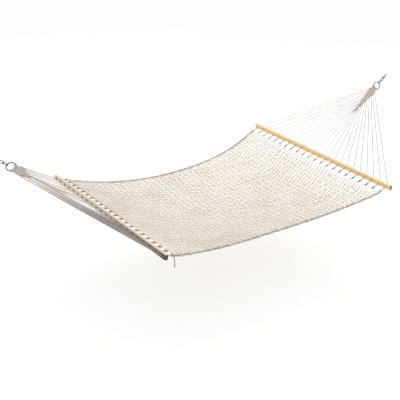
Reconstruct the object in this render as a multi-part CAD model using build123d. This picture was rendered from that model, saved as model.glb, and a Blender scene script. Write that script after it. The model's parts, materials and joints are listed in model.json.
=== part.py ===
from build123d import *
from math import asin, atan2, cos, degrees, pi, radians, sin, tan
import os

# Rope hammock with two spreader bars, hung by a short chain and an S-hook at each end.
# Millimetres and degrees, +Z up.  It runs along +X from its head end to its foot end, and +Y is
# its far side.  The origin is the centre of the head hook's open bend, where the anchor's eye
# sits.  Each end is drawn about its own tension line: the straight line from the middle of its
# spreader bar up through its ring, chain and hook.

# Overall layout
BED_LENGTH = 1820.0      # between the centre lines of the two spreader bars
CLEW_RUN = 576.0         # level distance from a bar to its ring
CLEW_RISE = 441.0        # height of a ring above its bar
EDGE_SAG = 115.0         # drop of the bed's edges at mid-length
MIDDLE_SAG = 45.0        # further drop of the bed's middle below its edges
WAIST = 100.0            # how far each edge draws in at mid-length
SAG_POWER = 2.34         # fullness of the sag: 2 is a parabola, more is flatter in the middle
HEAD_LIE = 0.0           # roll of the head end about its tension line
FOOT_LIE = 3.4           # roll of the foot end, which lifts its far side

# Spreader bars
BAR_LENGTH = 1400.0
BAR_HEIGHT = 34.0
BAR_THICKNESS = 22.0
BAR_PITCH = 10.0         # the holes rise this much towards the ring
BAR_EDGE_RADIUS = 4.0
HOLE_COUNT = 22
HOLE_MARGIN = 38.5       # from a bar's end to its outermost hole

# Ropes and knots
STRING_RADIUS = 2.2
LOOP_CORD_RADIUS = 2.0
KNOT_RADIUS = 6.5
CORNER_KNOT_RADIUS = 8.0
EDGE_ROPE_RADIUS = 6.0
NET_THICKNESS = 4.0
LEAD_LENGTH = 47.0       # of string between a bar's bed side and its knot
LEAD_PITCH = 21.0        # how steeply it drops towards the bed

# Gathered strings and woven mat, measured from the ring's centre along the tension line
MAT_START = 40.0
MAT_SHOULDER = 55.0
MAT_END = 270.0
MAT_START_HALF = 20.0
MAT_SHOULDER_HALF = 24.0
MAT_END_HALF = 5.0
MAT_THICKNESS = 7.0
GATHER_FULLNESS = 0.73   # height of the gathered strings at the ring, of the loops' spread
GATHER_HALF_DEPTH = 4.3

# Ring, chain and hook: radii of bends are to the middle of the wire
RING_RADIUS = 26.75
RING_WIRE_RADIUS = 3.25
LINK_PITCH = 30.0        # inside length of a chain link
LINK_BEND_RADIUS = 8.5
LINK_WIRE_RADIUS = 2.5
HOOK_BEND_RADIUS = 9.5
HOOK_WIRE_RADIUS = 3.0
HOOK_CLOSED_SWEEP = 285.0
HOOK_OPEN_SWEEP = 225.0

# How far ring, links and hook are turned about their tension line, from standing upright
HEAD_TWIST = -15.0
FOOT_TWIST = 25.0
CROSS_TURN = 75.0        # inner link and hook, past the ring
OUTER_LINK_TURN = -15.0

# Clearances
SEAT = 0.3               # between pieces that rest on each other
CHAIN_PLAY = 0.6         # between two wires that bear on each other
SWEEP_GAP = 0.5          # between the bed and the plane that a bar's knots turn in
STRING_GAP = 1.8         # round a string in its hole
LOOP_GAP = 0.2           # between neighbouring rope loops on the ring

# Loose end of the near edge rope, from the middle of the head bar's near corner knot
TAIL_RADIUS = 3.5
TAIL_ROUTE = [
    (0, -5, 0),
    (-1, -19, -3),
    (-5, -32, -9),
    (-10, -42, -19),
    (-15, -48, -32),
    (-18, -50, -47),
]
TAIL_ARC_SHARE = 0.45    # of the shorter run, taken up by each corner's arc

BED_SECTIONS = 17
BED_POINTS_ACROSS = 9
ROPE_SIDES = 10

slope = atan2(CLEW_RISE, CLEW_RUN)
bar_pitch = radians(BAR_PITCH)
lead_pitch = radians(LEAD_PITCH)
hole_radius = STRING_RADIUS + STRING_GAP
edge_hole = BAR_LENGTH / 2 - HOLE_MARGIN
hole_pitch = 2 * edge_hole / (HOLE_COUNT - 1)
hole_row = [hole_pitch * k - edge_hole for k in range(HOLE_COUNT)]
across_all = Vector(0, 1, 0)

# Rope loops round the ring: each one's radius, the turn between neighbours and their spread
loop_count = HOLE_COUNT // 2
loop_radius = RING_WIRE_RADIUS + SEAT + LOOP_CORD_RADIUS
loop_step = 2 * asin((LOOP_CORD_RADIUS + LOOP_GAP / 2) / (RING_RADIUS - loop_radius))
loop_spread = loop_step * (loop_count - 1) / 2

# Middles of the wires' ends along a tension line, from the ring's centre outward
link_reach = LINK_PITCH + 2 * LINK_WIRE_RADIUS
inner_link_at = RING_RADIUS - RING_WIRE_RADIUS - LINK_WIRE_RADIUS - CHAIN_PLAY
outer_link_at = inner_link_at + LINK_PITCH - CHAIN_PLAY
hook_at = outer_link_at + link_reach - LINK_WIRE_RADIUS - HOOK_WIRE_RADIUS - CHAIN_PLAY
hook_mouth_at = hook_at + 3 * HOOK_BEND_RADIUS


class End:
    """Directions and places at one end of the hammock; side is -1 at the head, 1 at the foot."""

    def __init__(self, side, twist, lie):
        self.twist = twist
        self.roll = side * lie
        self.bar = Vector(side * BED_LENGTH / 2, 0, 0)
        self.ring = self.bar + Vector(side * CLEW_RUN, 0, CLEW_RISE)
        self.out = Vector(side * cos(slope), 0, sin(slope))
        self.up = Vector(-side * sin(slope), 0, cos(slope))
        self.hole = Vector(side * cos(bar_pitch), 0, sin(bar_pitch))
        self.lead = Vector(side * cos(lead_pitch), 0, sin(lead_pitch))
        self.across = across_all * cos(radians(lie)) + self.up * sin(radians(lie))
        self.rise = self.up * cos(radians(lie)) - across_all * sin(radians(lie))

    def turned_across(self, turn):
        angle = radians(self.twist + turn)
        return across_all * cos(angle) - self.up * sin(angle)

    def turned_up(self, turn):
        angle = radians(self.twist + turn)
        return self.up * cos(angle) + across_all * sin(angle)

    def plane(self, distance, turn):
        """A plane on the tension line with x outward, for a piece turned about that line."""
        place = self.ring + self.out * distance
        return Plane(origin=place, x_dir=self.out, z_dir=self.turned_across(turn) * -1)

    def clew_point(self, distance, across):
        """A point in the clew's plane, measured inward from the ring."""
        return self.ring - self.out * distance + across_all * across

    def hole_mouth(self, across):
        """Where a string enters its hole, on the bar's ring side."""
        return self.bar + self.hole * (BAR_THICKNESS / 2) + across_all * across

    def hole_exit(self, across):
        """Where a string leaves its hole, on the bar's bed side."""
        return self.bar - self.hole * (BAR_THICKNESS / 2) + across_all * across

    def knot_middle(self, across, radius):
        """The middle of the knot between a string and the bed."""
        return self.hole_exit(across) - self.lead * (LEAD_LENGTH + radius)

    def bed_end(self):
        """The middle of the bed's end edge, clear of the plane that knots and bar turn in."""
        arm = self.knot_middle(0, CORNER_KNOT_RADIUS) - self.bar
        knot_reach = CORNER_KNOT_RADIUS - arm.dot(self.out)
        tilt = slope - bar_pitch
        bar_reach = (BAR_THICKNESS * cos(tilt) + BAR_HEIGHT * abs(sin(tilt))) / 2
        reach = max(knot_reach, bar_reach) + SWEEP_GAP
        return self.bar + self.up * arm.dot(self.up) - self.out * reach

    def settle(self, piece):
        """Roll a piece of this end about the tension line, as the end lies."""
        return piece.rotate(Axis(self.ring, self.out), self.roll)


def rod(start, finish, radius):
    """A round bar between two points."""
    run = finish - start
    disc = Plane(origin=start, z_dir=run) * Circle(radius)
    return extrude(disc, amount=run.length)


def skin(sections):
    """A closed solid through flat many-sided sections, straight from each to the next."""
    outlines = [Face(Wire.make_polygon(points, close=True)) for points in sections]
    return loft(outlines, ruled=True)


def oval(middle, half_wide, half_high):
    """The corners of a many-sided oval about a point, from two half-size vectors."""
    turns = [2 * pi * (k + 0.5) / ROPE_SIDES for k in range(ROPE_SIDES)]
    return [middle + half_wide * cos(turn) + half_high * sin(turn) for turn in turns]


def ring(end):
    return end.plane(0, 0) * Torus(RING_RADIUS, RING_WIRE_RADIUS)


def chain_link(end, at, turn):
    """A straight-sided chain link; at is the middle of its inner end's wire."""
    bend = LINK_BEND_RADIUS
    loop = SlotCenterToCenter(link_reach - 2 * bend, 2 * bend).face().outer_wire()
    wire = Plane(origin=loop @ 0, z_dir=loop % 0) * Circle(LINK_WIRE_RADIUS)
    link = Pos(link_reach / 2, 0) * sweep(wire, path=loop)
    return end.plane(at, turn) * link


def s_hook(end):
    """Two opposite bends of wire: one closed on the last link, one open for the anchor."""
    bend = HOOK_BEND_RADIUS
    arcs = []
    for middle, tip, sweep_angle in (
        (bend, 360 - HOOK_CLOSED_SWEEP, HOOK_CLOSED_SWEEP),
        (3 * bend, 180 - HOOK_OPEN_SWEEP, HOOK_OPEN_SWEEP),
    ):
        turned = Pos(middle, 0) * Rot(Z=tip)
        arcs.append(turned * Torus(bend, HOOK_WIRE_RADIUS, major_angle=sweep_angle))
        arcs.append(turned * Pos(bend, 0) * Sphere(HOOK_WIRE_RADIUS))
    return end.plane(hook_at, CROSS_TURN) * (arcs[0] + arcs[1:])


def ring_loops(end):
    """Rope loops side by side round the ring's wire, towards the bar: one for two strings."""
    loop = Pos(RING_RADIUS, 0) * Rot(X=90) * Torus(loop_radius, LOOP_CORD_RADIUS)
    turns = [180 + degrees(loop_step * k - loop_spread) for k in range(loop_count)]
    return Compound([end.plane(0, 0) * Rot(Z=turn) * loop for turn in turns])


def gathered_strings(end):
    """The bundle of strings between the ring's loops and the woven mat."""
    start = RING_RADIUS + loop_radius + LOOP_CORD_RADIUS + SEAT
    half_height = start * sin(loop_spread) * GATHER_FULLNESS
    at_ring = oval(
        end.clew_point(start, 0),
        end.turned_across(0) * GATHER_HALF_DEPTH,
        end.turned_up(0) * half_height,
    )
    at_mat = oval(
        end.clew_point(MAT_START - SEAT, 0),
        across_all * MAT_START_HALF,
        end.up * (MAT_THICKNESS / 2),
    )
    return skin([at_ring, at_mat])


def woven_mat(end):
    """The mat of crossed strings, narrowing to a point as its outer strings leave it."""
    corners = [
        (MAT_START, MAT_START_HALF),
        (MAT_SHOULDER, MAT_SHOULDER_HALF),
        (MAT_END, MAT_END_HALF),
    ]
    outline = [end.clew_point(s, half) for s, half in corners]
    outline += [end.clew_point(s, -half) for s, half in reversed(corners)]
    face = Face(Wire.make_polygon(outline, close=True))
    return extrude(face, amount=MAT_THICKNESS / 2, dir=end.up, both=True)


def clew_strings(end):
    """One string for each hole: off the mat's edge, straight to its hole, and on to its knot."""
    steps = HOLE_COUNT // 2 - 1
    strings = []
    for across in hole_row:
        rank = (edge_hole - abs(across)) / hole_pitch / steps
        leaves = MAT_SHOULDER + (MAT_END - MAT_SHOULDER) * rank
        half = MAT_SHOULDER_HALF + (MAT_END_HALF - MAT_SHOULDER_HALF) * rank
        beside = half + SEAT + STRING_RADIUS
        side = 1 if across > 0 else -1
        mouth = end.hole_mouth(across)
        leaving = end.hole_exit(across)
        string = rod(end.clew_point(leaves, side * beside), mouth, STRING_RADIUS)
        string += Pos(mouth) * Sphere(STRING_RADIUS + SEAT / 10)
        string += rod(mouth, leaving, STRING_RADIUS)
        string += Pos(leaving) * Sphere(STRING_RADIUS + SEAT / 10)
        string += rod(leaving, leaving - end.lead * (LEAD_LENGTH - SEAT), STRING_RADIUS)
        strings.append(string)
    return Compound(strings)


def spreader_bar(end):
    """A flat bar with rounded edges and a row of holes for the strings."""
    bar = Box(BAR_THICKNESS, BAR_LENGTH, BAR_HEIGHT)
    bar = fillet(bar.edges(), BAR_EDGE_RADIUS)
    for across in hole_row:
        bar -= Pos(0, across) * Rot(Y=90) * Cylinder(hole_radius, 2 * BAR_THICKNESS)
    return Plane(origin=end.bar, x_dir=end.hole, z_dir=end.hole.cross(across_all)) * bar


def knot(end, across, radius):
    return Pos(end.knot_middle(across, radius)) * Sphere(radius)


def stopper_knots(end):
    """Knots that tie a bar's strings to the bed, at every hole but the two corner ones."""
    return Compound([knot(end, across, KNOT_RADIUS) for across in hole_row[1:-1]])


def rope_tail(end):
    """The loose end of the near edge rope, hanging past the bar's near corner knot."""
    start = end.knot_middle(-edge_hole, CORNER_KNOT_RADIUS)
    points = [start + Vector(*step) for step in TAIL_ROUTE]
    runs = [b - a for a, b in zip(points, points[1:])]
    radii = []
    for before, after in zip(runs, runs[1:]):
        turn = radians(before.get_angle(after))
        radii.append(TAIL_ARC_SHARE * min(before.length, after.length) / tan(turn / 2))
    path = FilletPolyline(*points, radius=radii)
    return sweep(Plane(origin=points[0], z_dir=runs[0]) * Circle(TAIL_RADIUS), path=path)


def sag_share(along):
    """How much of the full sag the bed has at a share of its length."""
    return 1 - abs(2 * along - 1) ** SAG_POWER


def edge_across(along):
    """Distance of an edge rope's middle from the hammock's middle line."""
    return edge_hole - WAIST * (1 - (2 * along - 1) ** 2)


def bed_frame(along, head, foot):
    """The bed's middle line at a share of its length, with directions across it and up."""
    start = head.bed_end()
    finish = foot.bed_end()
    middle = start + (finish - start) * along - Vector(0, 0, EDGE_SAG * sag_share(along))
    if along == 0:
        return middle, head.across, head.rise
    if along == 1:
        return middle, foot.across, foot.rise
    lie = radians(HEAD_LIE + (FOOT_LIE - HEAD_LIE) * along)
    return middle, Vector(0, cos(lie), sin(lie)), Vector(0, -sin(lie), cos(lie))


def bed_net(head, foot):
    """The rope net as one thin sheet: curved along, hollowed across, drawn in at the waist."""
    sections = []
    for k in range(BED_SECTIONS):
        along = k / (BED_SECTIONS - 1)
        middle, across, rise = bed_frame(along, head, foot)
        half = edge_across(along) - EDGE_ROPE_RADIUS - SEAT
        row = []
        for j in range(BED_POINTS_ACROSS):
            share = 2 * j / (BED_POINTS_ACROSS - 1) - 1
            drop = MIDDLE_SAG * (1 - share ** 2) * sag_share(along)
            row.append(middle + across * (half * share) - rise * drop)
        thick = rise * (NET_THICKNESS / 2)
        sections.append([p + thick for p in row] + [p - thick for p in reversed(row)])
    return skin(sections)


def edge_rope(head, foot, side):
    """The thick rope along one edge of the net; side is -1 near, 1 far."""
    sections = []
    for k in range(BED_SECTIONS):
        along = k / (BED_SECTIONS - 1)
        middle, across, rise = bed_frame(along, head, foot)
        centre = middle + across * (side * edge_across(along))
        sections.append(oval(centre, across * EDGE_ROPE_RADIUS, rise * EDGE_ROPE_RADIUS))
    return skin(sections)


def end_nodes(name, end):
    pieces = {
        "s_hook": s_hook(end),
        "chain_link_outer": chain_link(end, outer_link_at, OUTER_LINK_TURN),
        "chain_link_inner": chain_link(end, inner_link_at, CROSS_TURN),
        "ring": ring(end),
        "ring_rope_loops": ring_loops(end),
        "gathered_strings": gathered_strings(end),
        "woven_clew_mat": woven_mat(end),
        "clew_strings": clew_strings(end),
        "spreader_bar": spreader_bar(end),
        "stopper_knots": stopper_knots(end),
        "near_corner_knot": knot(end, -edge_hole, CORNER_KNOT_RADIUS),
        "far_corner_knot": knot(end, edge_hole, CORNER_KNOT_RADIUS),
    }
    return {f"{name}_{piece}": end.settle(solid) for piece, solid in pieces.items()}


head = End(-1, HEAD_TWIST, HEAD_LIE)
foot = End(1, FOOT_TWIST, FOOT_LIE)

nodes = end_nodes("head", head) | end_nodes("foot", foot)
nodes["bed_net"] = bed_net(head, foot)
nodes["near_edge_rope"] = edge_rope(head, foot, -1)
nodes["far_edge_rope"] = edge_rope(head, foot, 1)
nodes["near_edge_rope_tail"] = head.settle(rope_tail(head))

origin = head.ring + head.out * hook_mouth_at
os.makedirs("parts", exist_ok=True)
for node, shape in nodes.items():
    export_step(Pos(origin * -1) * shape, f"parts/{node}.step")
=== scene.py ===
import json
from math import asin, atan2, cos, pi, radians, sin

import bpy
import numpy as np
from mathutils import Matrix, Vector


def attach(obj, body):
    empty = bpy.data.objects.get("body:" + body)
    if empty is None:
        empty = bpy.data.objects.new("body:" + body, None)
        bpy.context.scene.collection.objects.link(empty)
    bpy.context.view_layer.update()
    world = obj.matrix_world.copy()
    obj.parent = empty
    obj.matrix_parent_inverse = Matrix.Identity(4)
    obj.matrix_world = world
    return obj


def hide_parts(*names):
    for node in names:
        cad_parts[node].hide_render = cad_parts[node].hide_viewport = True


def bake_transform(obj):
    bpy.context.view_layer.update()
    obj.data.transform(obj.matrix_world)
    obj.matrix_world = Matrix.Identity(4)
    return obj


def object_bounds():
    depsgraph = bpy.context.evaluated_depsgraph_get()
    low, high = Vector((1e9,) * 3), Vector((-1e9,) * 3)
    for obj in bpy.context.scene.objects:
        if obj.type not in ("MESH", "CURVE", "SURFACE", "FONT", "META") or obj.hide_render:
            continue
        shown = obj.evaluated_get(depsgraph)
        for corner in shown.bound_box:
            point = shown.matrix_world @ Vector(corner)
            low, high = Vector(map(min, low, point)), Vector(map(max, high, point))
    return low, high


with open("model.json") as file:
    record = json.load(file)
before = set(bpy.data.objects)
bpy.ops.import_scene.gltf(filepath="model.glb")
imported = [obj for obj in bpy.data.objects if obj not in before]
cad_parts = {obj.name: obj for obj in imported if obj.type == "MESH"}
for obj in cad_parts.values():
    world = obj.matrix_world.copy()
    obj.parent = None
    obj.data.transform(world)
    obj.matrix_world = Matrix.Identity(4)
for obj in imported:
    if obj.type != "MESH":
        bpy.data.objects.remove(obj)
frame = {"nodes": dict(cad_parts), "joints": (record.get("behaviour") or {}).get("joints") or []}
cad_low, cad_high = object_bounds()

# The hammock hangs along +X, with +Y to its far side and +Z up. Lengths are in metres.

# Sizes that the ropes share with the hammock's solids
EDGE_SAG = 0.115
MIDDLE_SAG = 0.045
WAIST = 0.100
SAG_POWER = 2.34
FOOT_LIE = radians(3.4)
RING_TO_BAR = 0.725434
BAR_HEIGHT = 0.034
BAR_THICKNESS = 0.022
BAR_PITCH = radians(10)
LEAD_LENGTH = 0.047
LEAD_PITCH = radians(21)
HOLE_COUNT = 22
EDGE_HOLE = 0.6615
HOLE_PITCH = 2 * EDGE_HOLE / (HOLE_COUNT - 1)
KNOT_RADIUS = 0.0065
CORNER_KNOT_RADIUS = 0.008
EDGE_ROPE_RADIUS = 0.006
MAT_START, MAT_SHOULDER, MAT_END = 0.040, 0.055, 0.270
MAT_START_HALF, MAT_SHOULDER_HALF, MAT_END_HALF = 0.020, 0.024, 0.005
RING_RADIUS = 0.02675
RING_WIRE_RADIUS = 0.00325
LOOP_COUNT = HOLE_COUNT // 2
LOOP_CORD_RADIUS = 0.002
LOOP_GAP = 0.0001   # half the room between two loops, side by side round the ring
SEAT = 0.0003   # between the ring's wire and a loop's cord
SWEEP_GAP = 0.0005
TWIST = {"head": radians(-15), "foot": radians(25)}   # of each ring about its tension line

# The free rope tail: its diameter, and the points that steer it from its knot to its tip
TAIL_POINTS = [
    (0.723297, -0.666500, -0.527788),
    (0.722297, -0.680500, -0.530788),
    (0.718297, -0.693500, -0.536788),
    (0.713297, -0.703500, -0.546788),
    (0.708297, -0.709500, -0.559788),
    (0.705297, -0.711500, -0.574788),
]

# Ropes laid from three strands: distance of a strand from the middle, its radius, length of a turn
TAIL_LAY = (0.0017, 0.00185, 0.020)
EDGE_LAY = (0.0031, 0.0032, 0.034)

random = np.random.default_rng(11)
Y = Vector((0, 1, 0))
Z = Vector((0, 0, 1))


# ---------------------------------------------------------------- camera

camera = bpy.data.objects.new("camera", bpy.data.cameras.new("camera"))
bpy.context.scene.collection.objects.link(camera)
azimuth, elevation, roll = radians(-35.96), radians(24.57), radians(0.71)
level_right = Vector((cos(azimuth), sin(azimuth), 0))
back = Vector((sin(azimuth) * cos(elevation), -cos(azimuth) * cos(elevation), sin(elevation)))
level_up = back.cross(level_right)
right = level_right * cos(roll) + level_up * sin(roll)
upward = level_up * cos(roll) - level_right * sin(roll)
camera.matrix_world = Matrix((
    (right.x, upward.x, back.x, -1.3416),
    (right.y, upward.y, back.y, -3.7678),
    (right.z, upward.z, back.z, 1.5220),
    (0, 0, 0, 1),
))
camera.data.sensor_width = 36
camera.data.lens = 67.7
camera.data.clip_end = 100
bpy.context.scene.camera = camera


# ---------------------------------------------------------------- materials

class Nodes:
    """Short names for building one material's nodes."""

    def __init__(self, name):
        self.material = bpy.data.materials.new(name)
        self.material.use_nodes = True
        self.tree = self.material.node_tree
        self.shader = self.tree.nodes["Principled BSDF"]

    def new(self, kind, **settings):
        node = self.tree.nodes.new(kind)
        for key, value in settings.items():
            setattr(node, key, value)
        return node

    def put(self, socket, value):
        if isinstance(value, bpy.types.NodeSocket):
            self.tree.links.new(value, socket)
        else:
            socket.default_value = value

    def math(self, operation, a, b=0.0):
        node = self.new("ShaderNodeMath", operation=operation)
        self.put(node.inputs[0], a)
        self.put(node.inputs[1], b)
        return node.outputs[0]

    def mix(self, share, a, b, blend="MIX"):
        node = self.new("ShaderNodeMix", data_type="RGBA", blend_type=blend)
        self.put(node.inputs[0], share)
        self.put(node.inputs[6], a)
        self.put(node.inputs[7], b)
        return node.outputs[2]

    def noise(self, vector, scale, detail=2.0, roughness=0.5):
        node = self.new("ShaderNodeTexNoise")
        self.put(node.inputs["Vector"], vector)
        node.inputs["Scale"].default_value = scale
        node.inputs["Detail"].default_value = detail
        node.inputs["Roughness"].default_value = roughness
        return node.outputs["Fac"]

    def stretch(self, vector, scale):
        node = self.new("ShaderNodeVectorMath", operation="MULTIPLY")
        self.put(node.inputs[0], vector)
        node.inputs[1].default_value = scale
        return node.outputs[0]

    def spread(self, value, low, high, to_low=0.0, to_high=1.0):
        node = self.new("ShaderNodeMapRange", interpolation_type="SMOOTHSTEP")
        self.put(node.inputs[0], value)
        for k, number in enumerate((low, high, to_low, to_high), 1):
            node.inputs[k].default_value = number
        return node.outputs[0]

    def bump(self, height, strength, distance):
        node = self.new("ShaderNodeBump")
        self.put(node.inputs["Height"], height)
        node.inputs["Strength"].default_value = strength
        node.inputs["Distance"].default_value = distance
        self.put(self.shader.inputs["Normal"], node.outputs[0])

    def place(self):
        return self.new("ShaderNodeTexCoord").outputs["Object"]


WHITE = (1, 1, 1, 1)


def rope_material(name, light, dark, groove_shade, pitch, strands=3, near_shade_colour=WHITE, shade_fade=(-0.1, 0.1)):
    """Twisted cotton rope: lay lines that run round it, with painted shade in their grooves, fine
    fibres and patches of weathering.

    It turns to a painted shade colour over two distances to the near side of the middle plane."""
    m = Nodes(name)
    lay = m.new("ShaderNodeUVMap", uv_map="lay").outputs[0]
    parts = m.new("ShaderNodeSeparateXYZ")
    m.put(parts.inputs[0], lay)
    along, round_ = parts.outputs[0], parts.outputs[1]
    turns = m.math("ADD", m.math("MULTIPLY", along, 1 / pitch), m.math("MULTIPLY", round_, strands))
    swell = m.math("ABSOLUTE", m.math("SINE", m.math("MULTIPLY", turns, pi)))
    fibre_turns = m.math("SUBTRACT", m.math("MULTIPLY", along, 3 / pitch), round_)
    fibre_lines = m.math("SINE", m.math("MULTIPLY", fibre_turns, 30.0))
    place = m.place()
    fibre = m.noise(place, 900, 3)
    patch = m.spread(m.noise(place, 5.0, 3), 0.35, 0.7)
    body = m.mix(patch, light, dark)
    speck = m.spread(fibre, 0.3, 0.75, 0.86, 1.06)
    body = m.mix(1.0, body, speck, "MULTIPLY")
    # Painted shade: the grooves between the strands take a darker colour.
    depth = m.spread(swell, 0.0, 0.6)
    place_parts = m.new("ShaderNodeSeparateXYZ")
    m.put(place_parts.inputs[0], place)
    # Painted shade: the colour darkens towards the near side of the middle plane.
    near_shade_share = m.spread(m.math("MULTIPLY", place_parts.outputs[1], -1.0), *shade_fade)
    tint = m.mix(near_shade_share, WHITE, near_shade_colour)
    m.put(m.shader.inputs["Base Color"], m.mix(1.0, m.mix(depth, groove_shade, body), tint, "MULTIPLY"))
    m.put(m.shader.inputs["Roughness"], m.spread(fibre, 0.2, 0.8, 0.78, 0.95))
    m.shader.inputs["Specular IOR Level"].default_value = 0.25
    m.shader.inputs["Sheen Weight"].default_value = 0.25
    m.shader.inputs["Sheen Roughness"].default_value = 0.5
    height = m.math("ADD", m.math("POWER", swell, 0.6), m.math("MULTIPLY", fibre_lines, 0.06))
    m.bump(m.math("ADD", height, m.math("MULTIPLY", fibre, 0.25)), 0.6, 0.0008)
    return m.material


NEAR_SHADE_SPAN = (-0.60, 0.70)   # painted shade: the outer face of the shaded bar darkens over these distances to the near side
NEAR_BLACK_SHADE = (0.62, 0.68)   # and the painted shade turns nearly black over these
HOLE_SHADE = (0.0085, 0.0125)   # from a hole's middle, where its painted shade starts to thin out and where it ends
WHOLE_TURNS = 100   # keeps the count of holes above zero along the whole bar


def wood_material(name, end_bar, hole_line, side, painted_shade):
    """Varnished bar: honey wood with dark ends. A shaded bar gets painted shade: a greyer tone, an
    outer face darkening to nearly black at the near end, and dark rings round its holes.
    """
    m = Nodes(name)
    coordinates = m.new("ShaderNodeTexCoord")
    place, normal = coordinates.outputs["Object"], coordinates.outputs["Normal"]
    grain = m.noise(m.stretch(place, (60, 2.2, 60)), 4.0, 5, 0.6)
    ring = m.noise(m.stretch(place, (22, 0.7, 22)), 1.6, 2)
    pores = m.noise(m.stretch(place, (900, 14, 900)), 1.0, 2)
    honey = m.mix(m.spread(grain, 0.35, 0.68), (0.80, 0.56, 0.26, 1), (0.68, 0.44, 0.18, 1))
    honey = m.mix(m.spread(ring, 0.4, 0.62, 0.0, 0.5), honey, (0.78, 0.55, 0.27, 1))
    shaded_cream = m.mix(m.spread(grain, 0.35, 0.68), (0.72, 0.57, 0.40, 1), (0.62, 0.47, 0.31, 1))
    # Painted shade: the shaded bar takes a greyer tone than the honey of the lit one.
    wood = m.mix(painted_shade, honey, shaded_cream)
    wood = m.mix(m.spread(pores, 0.62, 0.75, 0.0, 0.4), wood, (0.45, 0.26, 0.10, 1))
    facing = m.new("ShaderNodeSeparateXYZ")
    m.put(facing.inputs[0], normal)
    spots = m.new("ShaderNodeSeparateXYZ")
    m.put(spots.inputs[0], place)
    # Painted shade on the shaded bar's outer face: darker towards the near end, nearly black at its
    # tip.
    outward = m.spread(m.math("MULTIPLY", facing.outputs[0], float(side)), 0.45, 0.8)
    near_shade_share = m.spread(m.math("MULTIPLY", spots.outputs[1], -1.0), *NEAR_SHADE_SPAN)
    shade = m.mix(near_shade_share, (0.60, 0.48, 0.33, 1), (0.16, 0.105, 0.065, 1))
    tip = m.spread(m.math("MULTIPLY", spots.outputs[1], -1.0), *NEAR_BLACK_SHADE)
    shade = m.mix(tip, shade, (0.035, 0.022, 0.014, 1))
    wood = m.mix(m.math("MULTIPLY", outward, painted_shade), wood, shade)
    # Painted shade round each hole's mouth on the shaded bar.
    hole_turns = m.math("MULTIPLY", spots.outputs[1], 1 / HOLE_PITCH)
    hole_share = m.math("ADD", hole_turns, 0.5 * HOLE_COUNT + WHOLE_TURNS)
    from_hole = m.math("MULTIPLY", m.math("SUBTRACT", m.math("FRACT", hole_share), 0.5), HOLE_PITCH)
    x_part = m.math("MULTIPLY", m.math("SUBTRACT", spots.outputs[0], end_bar.x), hole_line.x)
    z_part = m.math("MULTIPLY", m.math("SUBTRACT", spots.outputs[2], end_bar.z), hole_line.z)
    from_line = m.math("ADD", x_part, z_part)
    along_square = m.math("POWER", m.math("ABSOLUTE", from_hole), 2.0)
    up_square = m.math("POWER", m.math("ABSOLUTE", from_line), 2.0)
    distance = m.math("SQRT", m.math("ADD", along_square, up_square))
    hole_shade_share = m.spread(distance, *HOLE_SHADE, 1.0, 0.0)
    wood = m.mix(m.math("MULTIPLY", hole_shade_share, painted_shade), wood, (0.12, 0.080, 0.050, 1))
    dark_end = m.spread(m.math("ABSOLUTE", facing.outputs[1]), 0.5, 0.9)
    stain = m.mix(m.spread(grain, 0.35, 0.7), (0.050, 0.028, 0.016, 1), (0.022, 0.013, 0.009, 1))
    m.put(m.shader.inputs["Base Color"], m.mix(dark_end, wood, stain))
    m.put(m.shader.inputs["Roughness"], m.spread(grain, 0.3, 0.7, 0.30, 0.45))
    m.shader.inputs["Coat Weight"].default_value = 0.25
    m.shader.inputs["Coat Roughness"].default_value = 0.25
    m.bump(m.math("ADD", grain, m.math("MULTIPLY", pores, 0.5)), 0.25, 0.0006)
    return m.material


def steel_material(name):
    """Zinc-plated wire: dull grey with cloudy spangle, fine drawing lines and a little dark wear."""
    m = Nodes(name)
    place = m.place()
    cloud = m.noise(place, 160, 3)
    scratch = m.noise(m.stretch(place, (900, 900, 5000)), 1.0, 2)
    wear = m.spread(m.noise(place, 60, 4, 0.65), 0.55, 0.75)
    tone = m.mix(m.spread(cloud, 0.3, 0.7), (0.17, 0.175, 0.18, 1), (0.10, 0.105, 0.11, 1))
    m.put(m.shader.inputs["Base Color"], m.mix(wear, tone, (0.045, 0.043, 0.040, 1)))
    m.shader.inputs["Metallic"].default_value = 0.9
    m.put(m.shader.inputs["Roughness"], m.spread(cloud, 0.3, 0.7, 0.30, 0.48))
    m.bump(m.math("ADD", m.math("MULTIPLY", scratch, 0.5), wear), 0.2, 0.0002)
    return m.material


NET = rope_material(
    "net_cotton", (0.90, 0.84, 0.74, 1), (0.80, 0.71, 0.60, 1), (0.42, 0.34, 0.25, 1), 0.016,
)
# Head and foot copies of one cotton: the head's darker, greyer colours are painted shade.
CLEW = {
    "head": rope_material(
        "head_clew_shaded_cotton", (0.74, 0.68, 0.61, 1), (0.64, 0.57, 0.50, 1), (0.32, 0.27, 0.22, 1), 0.013,
    ),
    "foot": rope_material(
        "foot_clew_cotton", (0.80, 0.73, 0.64, 1), (0.70, 0.63, 0.54, 1), (0.42, 0.36, 0.29, 1), 0.013,
    ),
}
# The fans also turn grey towards their near side: painted shade.
FAN = {
    "head": rope_material(
        "head_fan_shaded_cotton", (0.72, 0.66, 0.60, 1), (0.62, 0.56, 0.50, 1), (0.32, 0.28, 0.24, 1), 0.013,
        near_shade_colour=(0.44, 0.43, 0.44, 1), shade_fade=(0.02, 0.26),
    ),
    "foot": rope_material(
        "foot_fan_cotton", (0.74, 0.71, 0.66, 1), (0.66, 0.62, 0.57, 1), (0.38, 0.35, 0.31, 1), 0.013,
        near_shade_colour=(0.58, 0.59, 0.61, 1), shade_fade=(-0.06, 0.14),
    ),
}
EDGE = rope_material(
    "edge_cotton", (0.54, 0.50, 0.43, 1), (0.42, 0.38, 0.32, 1), (0.15, 0.13, 0.10, 1), 0.012,
)
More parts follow.
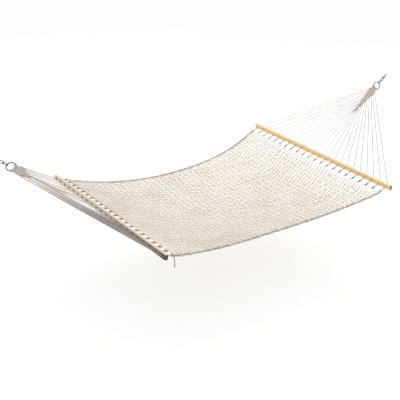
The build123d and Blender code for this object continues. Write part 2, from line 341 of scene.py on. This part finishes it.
# Painted shade: the lacing turns dark grey on the near side, where the mat's near selvedge is in
# shade.
LACING = rope_material(
    "lacing_cord", (0.60, 0.53, 0.44, 1), (0.50, 0.43, 0.35, 1), (0.20, 0.16, 0.12, 1), 0.009,
    near_shade_colour=(0.40, 0.40, 0.40, 1), shade_fade=(-0.02, 0.02),
)
LEADS = rope_material(
    "lead_cotton", (0.66, 0.57, 0.42, 1), (0.56, 0.47, 0.33, 1), (0.30, 0.24, 0.16, 1), 0.013,
)
# Painted shade: the foot's knot cord turns greyer towards the near side.
KNOTS = {
    "head": rope_material(
        "head_knot_cord", (0.40, 0.34, 0.25, 1), (0.30, 0.25, 0.18, 1), (0.12, 0.10, 0.07, 1), 0.009,
    ),
    "foot": rope_material(
        "foot_knot_cord", (0.46, 0.45, 0.40, 1), (0.36, 0.35, 0.30, 1), (0.15, 0.14, 0.12, 1), 0.009,
        near_shade_colour=(0.60, 0.60, 0.56, 1), shade_fade=(-0.6, 0.6),
    ),
}
WHIPPING = rope_material(
    "whipping_thread", (0.34, 0.30, 0.24, 1), (0.26, 0.23, 0.18, 1), (0.10, 0.08, 0.06, 1), 0.003, 1,
)
STEEL = steel_material("zinc_wire")


# ---------------------------------------------------------------- rope meshes

def parallel_normals(points, closed):
    """Unit tangents and two unit normals at each point, carried along without twisting."""
    step = np.roll(points, -1, 0) - np.roll(points, 1, 0)
    if not closed:
        step[0] = points[1] - points[0]
        step[-1] = points[-1] - points[-2]
    tangent = step / np.linalg.norm(step, axis=1, keepdims=True)
    first = np.array([0, 0, 1.0])
    if abs(tangent[0] @ first) > 0.9:
        first = np.array([1.0, 0, 0])
    normal = np.empty_like(points)
    carried = first
    for k, t in enumerate(tangent):
        carried = carried - t * (carried @ t)
        carried = carried / np.linalg.norm(carried)
        normal[k] = carried
    if closed:
        back_home = normal[-1] - tangent[0] * (normal[-1] @ tangent[0])
        slip = atan2(np.cross(normal[0], back_home) @ tangent[0], normal[0] @ back_home)
        turn = -slip * np.arange(len(points)) / len(points)
        other = np.cross(tangent, normal)
        normal = normal * np.cos(turn)[:, None] + other * np.sin(turn)[:, None]
    return tangent, normal, np.cross(tangent, normal)


class Rope:
    """Gathers many tubes into one mesh with a "lay" map: metres along, and turns round."""

    def __init__(self):
        self.verts, self.quads, self.lays, self.caps = [], [], [], []
        self.count = 0

    def add(self, points, radius, sides=6, closed=False):
        points = np.asarray([tuple(p) for p in points], float)
        _, normal, other = parallel_normals(points, closed)
        angle = np.arange(sides) * 2 * pi / sides
        cosines, sines = np.cos(angle)[None, :, None], np.sin(angle)[None, :, None]
        ring = cosines * normal[:, None] + sines * other[:, None]
        verts = points[:, None] + ring * radius
        rows = len(points)
        lengths = np.linalg.norm(np.diff(points, axis=0), axis=1)
        run = np.concatenate([[0], np.cumsum(lengths)])
        i = np.arange(rows if closed else rows - 1)
        j = np.arange(sides)
        a = i[:, None] * sides + j[None]
        b = i[:, None] * sides + (j[None] + 1) % sides
        nxt = (i + 1) % rows
        c = nxt[:, None] * sides + (j[None] + 1) % sides
        d = nxt[:, None] * sides + j[None]
        quads = np.stack([a, b, c, d], -1).reshape(-1, 4) + self.count
        if closed:
            run = np.append(run, run[-1] + np.linalg.norm(points[0] - points[-1]))
        low = np.broadcast_to(run[i][:, None], a.shape)
        high = np.broadcast_to(run[i + 1][:, None], a.shape)
        left = np.broadcast_to(j[None] / sides, a.shape)
        right_ = np.broadcast_to((j[None] + 1) / sides, a.shape)
        lays = np.stack([low, left, low, right_, high, right_, high, left], -1).reshape(-1, 4, 2)
        self.verts.append(verts.reshape(-1, 3))
        self.quads.append(quads)
        self.lays.append(lays)
        if not closed:
            last = self.count + (rows - 1) * sides
            self.caps.append(list(range(self.count + sides - 1, self.count - 1, -1)))
            self.caps.append(list(range(last, last + sides)))
        self.count += rows * sides

    def make(self, name, material, slot):
        verts = np.concatenate(self.verts)
        quads = np.concatenate(self.quads)
        mesh = bpy.data.meshes.new(name)
        mesh.from_pydata(verts.tolist(), [], quads.tolist() + self.caps)
        lay = mesh.uv_layers.new(name="lay")
        values = np.concatenate(self.lays).reshape(-1)
        extra = np.zeros(2 * sum(len(cap) for cap in self.caps))
        lay.data.foreach_set("uv", np.concatenate([values, extra]).astype(np.float32))
        mesh.polygons.foreach_set("use_smooth", [True] * len(quads) + [False] * len(self.caps))
        mesh.materials.append(material)
        mesh.update()
        piece = bpy.data.objects.new(name, mesh)
        bpy.context.scene.collection.objects.link(piece)
        return piece


def smooth(points, parts=3):
    """A Catmull-Rom curve through points, each run cut into parts."""
    p = np.asarray([tuple(q) for q in points], float)
    padded = np.vstack([2 * p[0] - p[1], p, 2 * p[-1] - p[-2]])
    a, b, c, d = padded[:-3], padded[1:-2], padded[2:-1], padded[3:]
    out = []
    for k in range(parts):
        t = k / parts
        square = (2 * a - 5 * b + 4 * c - d) * t * t
        cube = (3 * b - a - 3 * c + d) * t ** 3
        out.append(0.5 * (2 * b + (c - a) * t + square + cube))
    curve = np.stack(out, 1).reshape(-1, 3)
    return np.vstack([curve, p[-1]])


def strand_paths(points, offset, pitch, strands=3):
    """Helices round a line, one for each of a laid rope's strands."""
    _, normal, other = parallel_normals(points, False)
    run = np.concatenate([[0], np.cumsum(np.linalg.norm(np.diff(points, axis=0), axis=1))])
    for k in range(strands):
        turn = 2 * pi * (run / pitch + k / strands)
        yield points + offset * (np.cos(turn)[:, None] * normal + np.sin(turn)[:, None] * other)


def trefoil(centre, axis, wide, deep, steps=36):
    """A tied knot's line round a point: three lobes in the plane across axis."""
    axis = Vector(axis).normalized()
    u = axis.orthogonal().normalized()
    v = axis.cross(u)
    start = random.uniform(0, 2 * pi)
    out = []
    for k in range(steps):
        t = 2 * pi * k / steps
        x = (sin(t) + 2 * sin(2 * t)) / 3 * wide
        y = (cos(t) - 2 * cos(2 * t)) / 3 * wide
        xr, yr = x * cos(start) - y * sin(start), x * sin(start) + y * cos(start)
        out.append(centre + u * xr + v * yr - axis * (sin(3 * t) * deep))
    return out


# ---------------------------------------------------------------- the two ends

joints = {joint["name"]: joint for joint in frame["joints"]}


class End:
    """Directions and places at one end of the hammock: its ring, its bar and the knots behind it."""

    def __init__(self, name, side, lie):
        joint = joints[name + "_bar_roll"]
        self.name, self.side, self.twist = name, side, TWIST[name]
        self.ring = Vector(joint["pos_m"])
        self.out = Vector(joint["axis"]).normalized()
        self.up = Y.cross(self.out) * -side
        self.hole = Vector((side * cos(BAR_PITCH), 0, sin(BAR_PITCH)))
        self.lead = Vector((side * cos(LEAD_PITCH), 0, sin(LEAD_PITCH)))
        self.bar = self.ring - self.out * RING_TO_BAR
        self.roll = Matrix.Rotation(side * lie, 4, self.out)

    def settle(self, point):
        """A point of the end's strings after the end has rolled to the lie of its bar."""
        return self.ring + self.roll @ (Vector(point) - self.ring)

    def turned(self):
        """Across and up directions of the ring, which hangs twisted about the tension line."""
        twist = self.twist
        return Y * cos(twist) - self.up * sin(twist), self.up * cos(twist) + Y * sin(twist)

    def hole_mouth(self, across, reach=BAR_THICKNESS / 2):
        return self.bar + self.hole * reach + Y * across

    def knot_middle(self, across, radius):
        return self.hole_mouth(across, -BAR_THICKNESS / 2) - self.lead * (LEAD_LENGTH + radius)

    def bed_end(self):
        arm = self.knot_middle(0, CORNER_KNOT_RADIUS) - self.bar
        knot_reach = CORNER_KNOT_RADIUS - arm.dot(self.out)
        tilt = self.tilt()
        bar_reach = (BAR_THICKNESS * cos(tilt) + BAR_HEIGHT * abs(sin(tilt))) / 2
        reach = max(knot_reach, bar_reach) + SWEEP_GAP
        return self.bar + self.up * arm.dot(self.up) - self.out * reach

    def tilt(self):
        return asin(self.out.z) - BAR_PITCH


head = End("head", -1, 0.0)
foot = End("foot", 1, FOOT_LIE)
bed_start, bed_finish = head.bed_end(), foot.bed_end()
hole_row = [HOLE_PITCH * k - EDGE_HOLE for k in range(HOLE_COUNT)]


# ---------------------------------------------------------------- the loose rope tail

route = bpy.data.curves.new("tail_route", "CURVE")
route.dimensions = "3D"
spline = route.splines.new("NURBS")
spline.points.add(len(TAIL_POINTS) - 1)
for point, place in zip(spline.points, TAIL_POINTS):
    point.co = (*place, 1)
spline.order_u = 3
spline.use_endpoint_u = True
spline.resolution_u = 12
route_object = bpy.data.objects.new("tail_route", route)
bpy.context.scene.collection.objects.link(route_object)
bpy.context.view_layer.update()
route_mesh = bpy.data.meshes.new_from_object(route_object)
tail_line = [Vector(v.co) for v in route_mesh.vertices]
bpy.data.objects.remove(route_object)
bpy.data.curves.remove(route)
bpy.data.meshes.remove(route_mesh)

tail = Rope()
tail_run = np.array([tuple(p) for p in tail_line])
lay_offset, strand_radius, lay_pitch = TAIL_LAY
for path in strand_paths(tail_run, lay_offset, lay_pitch):
    tail.add(path, strand_radius, 8)
tail_piece = tail.make("near_tail_rope", EDGE, "edge_rope")

WHIPPING_TURNS, WHIPPING_PARTS = 8, 12
WHIPPING_LENGTH, WHIPPING_REACH, THREAD_RADIUS = 0.0068, 0.0036, 0.00045
WHIPPING_FROM_END = 0.012
whipping = Rope()
tip = tail_run[-1] - tail_run[-2]
tip = tip / np.linalg.norm(tip)
band_at = tail_run[-1] - tip * WHIPPING_FROM_END
band = []
side_a = np.cross(tip, [1.0, 0, 0])
side_a /= np.linalg.norm(side_a)
side_b = np.cross(tip, side_a)
steps = WHIPPING_TURNS * WHIPPING_PARTS
for k in range(steps + 1):
    turn = 2 * pi * k / WHIPPING_PARTS
    round_tail = side_a * cos(turn) + side_b * sin(turn)
    band.append(band_at + tip * (WHIPPING_LENGTH * k / steps) + WHIPPING_REACH * round_tail)
whipping.add(band, THREAD_RADIUS, 5)
whipping_piece = whipping.make("near_tail_whipping", WHIPPING, "edge_rope")
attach(tail_piece, "head_end")
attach(whipping_piece, "head_end")
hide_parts("near_edge_rope_tail")
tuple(TAIL_POINTS[0])
[tuple(p) for p in tail_line]


# ---------------------------------------------------------------- the bed's shape

SLANT_FROM = 0.6   # from here to the foot the edges lean over with the foot bar


def bed_half(along):
    """The bed's half width at a share of its length: it is waisted in the middle."""
    return EDGE_HOLE - WAIST * (1 - (2 * along - 1) ** 2)


def bed_points(along, share, lift=0.0):
    """Points of the bed at shares of its length and half width, lifted square to it."""
    along, share, lift = np.broadcast_arrays(np.asarray(along, float), share, lift)
    sag = 1 - np.abs(2 * along - 1) ** SAG_POWER
    start, finish = np.array(bed_start), np.array(bed_finish)
    middle = start + (finish - start) * along[..., None]
    middle[..., 2] -= EDGE_SAG * sag
    lie = FOOT_LIE * along
    half = bed_half(along)
    rise = lift - MIDDLE_SAG * (1 - share ** 2) * sag
    slant = np.clip((along - SLANT_FROM) / (1 - SLANT_FROM), 0, 1) ** 2
    middle[..., 0] += foot.up.x * np.sin(lie) * half * share * slant
    middle[..., 1] += np.cos(lie) * half * share - np.sin(lie) * rise
    middle[..., 2] += np.sin(lie) * half * share + np.cos(lie) * rise
    return middle


# The net: ROWS zigzag ropes that run across the bed, each hooked into the next at a line of nodes
ROWS = 40
COLUMNS = 2 * HOLE_COUNT
NET_RADIUS = 0.0028
NET_MARGIN = 0.020   # from either end of the bed to the nearest line of nodes
UNEVEN_ALONG, UNEVEN_ACROSS = 0.0035, 0.0022
WAVE = 0.0045   # how far a line of nodes wanders along the bed
MEAN_HALF = 0.62   # the bed's half width on average, which turns a distance across into a share
HITCH_STEP = 0.006   # how far a row's turn round the edge rope moves along it
bed_length = (bed_finish - bed_start).length
first_row = NET_MARGIN / bed_length
line_along = np.linspace(first_row, 1 - first_row, ROWS + 1)
node_shift_along = random.normal(0, UNEVEN_ALONG, (ROWS + 1, COLUMNS + 1)) / bed_length
node_shift_across = random.normal(0, UNEVEN_ACROSS, (ROWS + 1, COLUMNS + 1))
for line in (0, ROWS):
    node_shift_along[line] = 0
    node_shift_across[line] = 0
slow = np.arange(COLUMNS + 1) / COLUMNS
for line in range(1, ROWS):
    wave = np.sin(7.1 * slow + 0.9 * line)
    node_shift_along[line] += WAVE / bed_length * wave * np.sin(pi * line / ROWS)


def node(line, column):
    """Share along, and share across, of one node of the net; odd lines reach the edge ropes."""
    if line % 2:
        share = -1 + 2 * column / COLUMNS
    else:
        share = -1 + 2 * (column + 0.5) / COLUMNS
    if line % 2 and column in (0, COLUMNS):
        return line_along[line], share
    return (
        line_along[line] + node_shift_along[line, column],
        share + node_shift_across[line, column] / MEAN_HALF,
    )


def net_row(row):
    """The zigzag rope between two lines of nodes, as points along, across and lift."""
    odd_line, even_line = (row + 1, row) if row % 2 == 0 else (row, row + 1)
    stops = []
    for column in range(COLUMNS + 1):
        stops.append((node(odd_line, column), odd_line))
        if column < COLUMNS:
            stops.append((node(even_line, column), even_line))
    hook = NET_RADIUS * 1.25 / bed_length
    wide = NET_RADIUS * 1.7 / MEAN_HALF
    high = NET_RADIUS * 1.02
    points = []
    for k, ((along, share), line) in enumerate(stops):
        far = 1 if line == row + 1 else -1
        before = high if far > 0 else -high
        after = -before
        inner = along - far * hook * 0.25
        if 0 < k:
            points.append((inner, share - wide, before))
        points.append((along + far * hook * 0.85, share - wide * 0.45, before * 0.7))
        points.append((along + far * hook * 0.85, share + wide * 0.45, after * 0.7))
        if k < len(stops) - 1:
            points.append((inner, share + wide, after))
            (next_along, next_share), _ = stops[k + 1]
            for t in (0.35, 0.65):
                points.append((
                    along + (next_along - along) * t,
                    share + (next_share - share) * t,
                    after * 0.45,
                ))
    return np.array(points)


half_row = ROWS // 2
for name, end, rows in (("head", head, range(half_row)), ("foot", foot, range(half_row, ROWS))):
    net = Rope()
    for row in rows:
        table = net_row(row)
        line = bed_points(table[:, 0], table[:, 1], table[:, 2])
        odd_line = row + 1 if row % 2 == 0 else row
        for side, where in ((-1, 0), (1, -1)):
            along = line_along[odd_line]
            shift = HITCH_STEP / bed_length * (-1 if row % 2 == 0 else 1)
            turn = np.linspace(0, 2 * pi, 9)
            reach = EDGE_ROPE_RADIUS + NET_RADIUS * 0.9
            half = bed_half(along)
            wrap = bed_points(
                along + shift * (0.4 + turn / (2 * pi)),
                side * (1 - reach * np.cos(turn) / half),
                reach * np.sin(turn),
            )
            line = np.vstack([wrap[::-1], line[1:]]) if where == 0 else np.vstack([line[:-1], wrap])
        net.add(line, NET_RADIUS, 6)
    piece = net.make(f"{name}_net_ropes", NET, "net_rope")
    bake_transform(piece)
    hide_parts("bed_net")


# Edge ropes, laid from three strands, from corner knot to corner knot
EDGE_STEPS = 240
lay_offset, strand_radius, lay_pitch = EDGE_LAY
for side, word in ((-1, "near"), (1, "far")):
    node_name = f"{word}_edge_rope"
    for name, end, first, last in (("head", head, 0.0, 0.5), ("foot", foot, 0.5, 1.0)):
        line = bed_points(np.linspace(first, last, EDGE_STEPS), side * np.ones(EDGE_STEPS))
        corner = end.settle(end.knot_middle(side * EDGE_HOLE, CORNER_KNOT_RADIUS))
        start = np.array(corner)[None]
        line = np.vstack([start, line]) if end is head else np.vstack([line, start])
        rope = Rope()
        for path in strand_paths(line, lay_offset, lay_pitch):
            rope.add(path, strand_radius, 8)
        piece = rope.make(f"{name}_{word}_edge", EDGE, "edge_rope")
        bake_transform(piece)
        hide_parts(node_name)


# ---------------------------------------------------------------- the clews

STATION = (MAT_END - MAT_SHOULDER) / (HOLE_COUNT // 2 - 1)   # from one pair's leaving to the next
WEFT_STEP = STATION / 2
WARP_RADIUS = 0.0020
WARP_LIFT = 0.0022
WEFT_RADIUS = 0.0014
LACING_STEP = 0.0075
LACING_REACH = 0.0026
FAN_CORD_RADIUS = {"head": 0.0027, "foot": 0.0024}
UNTWIST_START, UNTWIST_END = 0.034, 0.150
LEG_START = 0.0075   # beyond the ring wire's middle, where a loop turns into its two legs
LEG_GAP = 0.0034
WARP_STEP = 0.0045   # between two points of a string in the mat
FAN_STEPS = 28
FAN_SAG = (0.0005, 0.0035)   # least and most that a string hangs below a straight line
NEAR_HEAD_SAG = 0.0012   # added for each rank on the near side of the head fan
WEFT_OVERHANG, WEFT_TURN, WEFT_PART = 0.0012, 0.0008, 0.0035
KNOT_LOBE = (0.0050, 0.0026)   # width and depth of a knot's three lobes
KNOT_CORD_RADIUS = 0.0024
LEAD_SPREAD = 0.0042
LEAD_CORD_RADIUS = 0.0024
BINDING_TURNS = 9
BINDING_LENGTH = 0.026
BINDING_PARTS = 10
BINDING_RADIUS = 0.0036
BINDING_CORD_RADIUS = 0.0015
MIDDLE_RANK = (HOLE_COUNT - 1) / 2


def mat_half(distance):
    """Half width of the woven mat at a distance from the ring: widest at its shoulder."""
    if distance < MAT_SHOULDER:
        share = (distance - MAT_START) / (MAT_SHOULDER - MAT_START)
        return MAT_START_HALF + (MAT_SHOULDER_HALF - MAT_START_HALF) * share
    share = (distance - MAT_SHOULDER) / (MAT_END - MAT_SHOULDER)
    return MAT_SHOULDER_HALF + (MAT_END_HALF - MAT_SHOULDER_HALF) * share


def sheet_point(end, distance, across, lift=0.0):
    """A point in the sheet of strings, which stands upright at the ring and lies level further in."""
    t = min(1.0, max(0.0, (distance - UNTWIST_START) / (UNTWIST_END - UNTWIST_START)))
    lean = (pi / 2 - end.twist) * (1 - t * t * (3 - 2 * t))
    along_sheet = Y * cos(lean) + end.up * sin(lean)
    square = end.up * cos(lean) - Y * sin(lean)
    return end.ring - end.out * distance + along_sheet * across + square * lift


def rank_of(index):
    """Order in which a string leaves the mat: 0 for the two outermost."""
    return min(index, HOLE_COUNT - 1 - index)


def mat_place(end, index, distance, lift):
    """Where one string of the mat runs: evenly among those that haven't left it yet."""
    side = -1 if index < HOLE_COUNT // 2 else 1
    gone = max(0.0, (distance - MAT_SHOULDER) / STATION)
    share = (MIDDLE_RANK - rank_of(index)) / (MIDDLE_RANK - gone)
    return sheet_point(end, distance, side * mat_half(distance) * share, lift)


def clew(end):
    """All of one end's strings: round the ring, woven together, then fanned out to the bar."""
    loops, gather, mat, lacing, fan, leads, knots = (Rope() for _ in range(7))
    loop_radius = RING_WIRE_RADIUS + SEAT + LOOP_CORD_RADIUS
    loop_step = 2 * asin((LOOP_CORD_RADIUS + LOOP_GAP) / (RING_RADIUS - loop_radius))
    spread = loop_step * (LOOP_COUNT - 1) / 2
    ring_across, ring_up = end.turned()
    legs = {}
    for loop in range(LOOP_COUNT):
        angle = loop_step * loop - spread
        radial = end.out * -cos(angle) + ring_up * sin(angle)
        wire = end.ring + radial * RING_RADIUS
        arc = []
        for k in range(15):
            turn = radians(-45) + radians(270) * k / 14
            beside, over = loop_radius * cos(turn), loop_radius * sin(turn)
            arc.append(wire + ring_across * beside - radial * over)
        for which, side in ((0, -1), (1, 1)):
            legs[2 * loop + which] = (
                end.ring + radial * (RING_RADIUS + LEG_START) + ring_across * (side * LEG_GAP)
            )
        line = [legs[2 * loop + 1], *arc, legs[2 * loop]]
        loops.add([end.settle(p) for p in smooth(line, 2)], LOOP_CORD_RADIUS, 8)
    for index, across in enumerate(hole_row):
        rank = rank_of(index)
        side = -1 if across < 0 else 1
        station = MAT_SHOULDER + STATION * rank
        phase = pi * index
        first_lift = WARP_LIFT * cos(pi * (MAT_START - MAT_SHOULDER) / WEFT_STEP + phase)
        first = mat_place(end, index, MAT_START, first_lift)
        leg = legs[index]
        line = smooth([leg, leg.lerp(first, 0.5), first], 5)
        gather.add([end.settle(p) for p in line], WARP_RADIUS, 7)
        steps = max(2, int((station - MAT_START) / WARP_STEP))
        line = []
        for k in range(steps + 1):
            distance = MAT_START + (station - MAT_START) * k / steps
            lift = WARP_LIFT * cos(pi * (distance - MAT_SHOULDER) / WEFT_STEP + phase)
            line.append(mat_place(end, index, distance, lift))
        mouth = end.hole_mouth(across)
        line = smooth(line, 2)
        mat.add([end.settle(p) for p in line], WARP_RADIUS, 7)
        leaving = Vector(line[-1])
        through = end.hole_mouth(across, -BAR_THICKNESS / 2)
        knot_size = CORNER_KNOT_RADIUS if rank == 0 else KNOT_RADIUS
        knot = end.knot_middle(across, knot_size)
        sag = random.uniform(*FAN_SAG)
        if end is head and side < 0:
            sag += NEAR_HEAD_SAG * rank
        line = []
        for k in range(FAN_STEPS):
            t = k / FAN_STEPS
            line.append(leaving.lerp(mouth, t) - Z * (sag * 4 * t * (1 - t)))
        line += [mouth, mouth.lerp(through, 0.5), through]
        fan.add([end.settle(p) for p in line], FAN_CORD_RADIUS[end.name], 7)
        for beside in (-1, 1):
            apart = Y * (beside * LEAD_SPREAD)
            line = [through, through.lerp(knot, 0.25) + apart, through.lerp(knot, 0.6) + apart, knot]
            leads.add([end.settle(p) for p in smooth(line, 3)], LEAD_CORD_RADIUS, 7)
    rows = int((MAT_END - MAT_START) / WEFT_STEP)
    line = []
    for row in range(rows):
        distance = MAT_START + 0.004 + WEFT_STEP * row
        half = mat_half(distance) + WEFT_OVERHANG
        turn_side = -1 if row % 2 == 0 else 1
        count = max(3, int(half / WEFT_PART))
        for k in range(count + 1):
            across = turn_side * half * (1 - 2 * k / count)
            line.append(sheet_point(end, distance, across, 0.0006 * sin(9 * k)))
        out = -turn_side * (half + WEFT_TURN)
        line.append(sheet_point(end, distance + WEFT_STEP / 2, out, 0.0))
    mat.add([end.settle(p) for p in smooth(line, 2)], WEFT_RADIUS, 6)
    for side in (-1, 1):
        line = []
        turns = int((MAT_END - MAT_START) / LACING_STEP)
        for k in range(turns * 8 + 1):
            turn = 2 * pi * k / 8
            distance = MAT_START + (MAT_END - MAT_START) * k / (turns * 8)
            across = side * (mat_half(distance) + 0.0004) + LACING_REACH * cos(turn)
            line.append(sheet_point(end, distance, across, LACING_REACH * sin(turn)))
        lacing.add([end.settle(p) for p in line], WEFT_RADIUS, 6)
    for across in hole_row[1:-1]:
        centre = end.settle(end.knot_middle(across, KNOT_RADIUS))
        tilt = Vector(random.normal(0, 0.35, 3))
        knots.add(trefoil(centre, end.lead + tilt, *KNOT_LOBE), KNOT_CORD_RADIUS, 7, closed=True)
        away = end.lead.cross(Y).normalized()
        binding = []
        steps = BINDING_TURNS * BINDING_PARTS
        for k in range(steps + 1):
            turn = 2 * pi * k / BINDING_PARTS
            reach = BINDING_LENGTH * (k / steps - 0.5)
            round_it = Y * cos(turn) + away * sin(turn)
            binding.append(centre + end.lead * reach + round_it * BINDING_RADIUS)
        knots.add(binding, BINDING_CORD_RADIUS, 5)
    name = end.name
    for rope, word, node_word, material in (
        (loops, "ring_lashing", "ring_rope_loops", CLEW[name]),
        (gather, "gather_cords", "gathered_strings", CLEW[name]),
        (mat, "mat_warp", "woven_clew_mat", CLEW[name]),
        (lacing, "mat_lacing", None, LACING),
        (fan, "fan_cords", "clew_strings", FAN[name]),
        (leads, "bar_leads", None, LEADS),
        (knots, "bar_knots", "stopper_knots", KNOTS[name]),
    ):
        piece = rope.make(f"{name}_{word}", material, "clew_rope")
        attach(piece, f"{name}_end")
        if node_word:
            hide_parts(f"{name}_{node_word}")


TIE_RADIUS = 0.0019
TIE_HALF_WIDTH = 0.0030
TIE_HOOK = 0.0042
TIE_SPLAY = 0.0022
# For each turn of a corner knot: its lean, its width, its depth and the radius of its rope
CORNER_LOBES = (((0, 0, 0.3), 0.0066, 0.0032, 0.0031), ((0, 0.4, -0.5), 0.0056, 0.0026, 0.0027))


def net_ties(end):
    """Two loops at each hole, from the knot to the net's first line of nodes."""
    ties = Rope()
    line_index = 0 if end is head else ROWS
    inward = 1 if end is head else -1
    for hole, across in enumerate(hole_row):
        knot_size = CORNER_KNOT_RADIUS if hole in (0, HOLE_COUNT - 1) else KNOT_RADIUS
        knot = end.settle(end.knot_middle(across, knot_size))
        for which in (0, 1):
            along, share = node(line_index, 2 * hole + which)
            wide = TIE_HALF_WIDTH
            half = bed_half(along)
            hook = TIE_HOOK / bed_length * inward
            tip = [
                bed_points(along - hook, share - wide / half, NET_RADIUS),
                bed_points(along + hook * 0.6, share - wide * 0.6 / half, NET_RADIUS * 0.7),
                bed_points(along + hook * 1.2, share, 0.0),
                bed_points(along + hook * 0.6, share + wide * 0.6 / half, -NET_RADIUS * 0.7),
                bed_points(along - hook, share + wide / half, -NET_RADIUS),
            ]
            a, b = Vector(tip[0]), Vector(tip[-1])
            shift = Vector((0, TIE_SPLAY, 0))
            line = [knot - shift, knot.lerp(a, 0.35) - shift * 0.8, knot.lerp(a, 0.7), *tip]
            line += [knot.lerp(b, 0.7), knot.lerp(b, 0.35) + shift * 0.8, knot + shift]
            ties.add(smooth(line, 2), TIE_RADIUS, 6)
    piece = ties.make(f"{end.name}_net_ties", NET, "net_rope")
    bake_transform(piece)


def corner_knots(end):
    """Two tangled turns of edge rope behind each outer hole."""
    for side, word in ((-1, "near"), (1, "far")):
        rope = Rope()
        centre = end.settle(end.knot_middle(side * EDGE_HOLE, CORNER_KNOT_RADIUS))
        for lean, wide, deep, radius in CORNER_LOBES:
            lobes = trefoil(centre, end.hole + Vector(lean), wide, deep, 48)
            rope.add(lobes, radius, 8, closed=True)
        piece = rope.make(f"{end.name}_{word}_corner_tie", EDGE, "edge_rope")
        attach(piece, f"{end.name}_end")
        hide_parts(f"{end.name}_{word}_corner_knot")


for end in (head, foot):
    clew(end)
    net_ties(end)
    corner_knots(end)


# ---------------------------------------------------------------- carried-over CAD nodes

# Only the head bar carries the painted shade.
woods = {
    end.name: wood_material(f"{end.name}_bar_wood", end.bar, end.hole.cross(Y), end.side, painted_shade)
    for end, painted_shade in ((head, 1.0), (foot, 0.0))
}
for name, thing in frame["nodes"].items():
    if name.endswith("spreader_bar"):
        finish = woods[name.split("_")[0]]
    elif name.endswith(("s_hook", "chain_link_outer", "chain_link_inner", "_ring")):
        finish = STEEL
    else:
        continue
    if not thing.material_slots:
        thing.data.materials.append(finish)
    for material_slot in thing.material_slots:
        material_slot.material = finish


# ---------------------------------------------------------------- floor, backdrop and light

floor_material = Nodes("floor_paint")
floor_place = floor_material.place()
floor_tone = floor_material.spread(floor_material.noise(floor_place, 0.8, 3), 0.3, 0.7)
floor_material.put(
    floor_material.shader.inputs["Base Color"],
    floor_material.mix(floor_tone, (0.97, 0.97, 0.97, 1), (0.96, 0.96, 0.96, 1)),
)
floor_material.shader.inputs["Roughness"].default_value = 0.9
floor_material.shader.inputs["Specular IOR Level"].default_value = 0.1
centre = (cad_low + cad_high) / 2
FLOOR_DROP = 0.45   # from the hammock's lowest point to the floor
FLOOR_HALF = 60.0
mesh = bpy.data.meshes.new("floor")
corners = [
    (centre.x + x * FLOOR_HALF, y * FLOOR_HALF, cad_low.z - FLOOR_DROP)
    for x, y in ((-1, -1), (1, -1), (1, 1), (-1, 1))
]
mesh.from_pydata(corners, [], [(0, 1, 2, 3)])
mesh.materials.append(floor_material.material)
floor = bpy.data.objects.new("floor", mesh)
bpy.context.scene.collection.objects.link(floor)

world = bpy.data.worlds.new("studio")
bpy.context.scene.world = world
world.use_nodes = True
background = world.node_tree.nodes["Background"]
background.inputs["Color"].default_value = WHITE
background.inputs["Strength"].default_value = 1.02


def area_light(name, place, aim, power, width):
    light = bpy.data.lights.new(name, "AREA")
    light.energy = power
    light.size = width
    lamp = bpy.data.objects.new(name, light)
    bpy.context.scene.collection.objects.link(lamp)
    lamp.location = place
    lamp.rotation_euler = (Vector(aim) - Vector(place)).to_track_quat("-Z", "Y").to_euler()


area_light("key", (centre.x + 2.6, 1.8, 3.2), centre, 48, 2.4)
area_light("fill", (centre.x - 3.0, -3.0, 2.6), centre, 10, 3.0)

bpy.context.scene.view_settings.view_transform = "Standard"
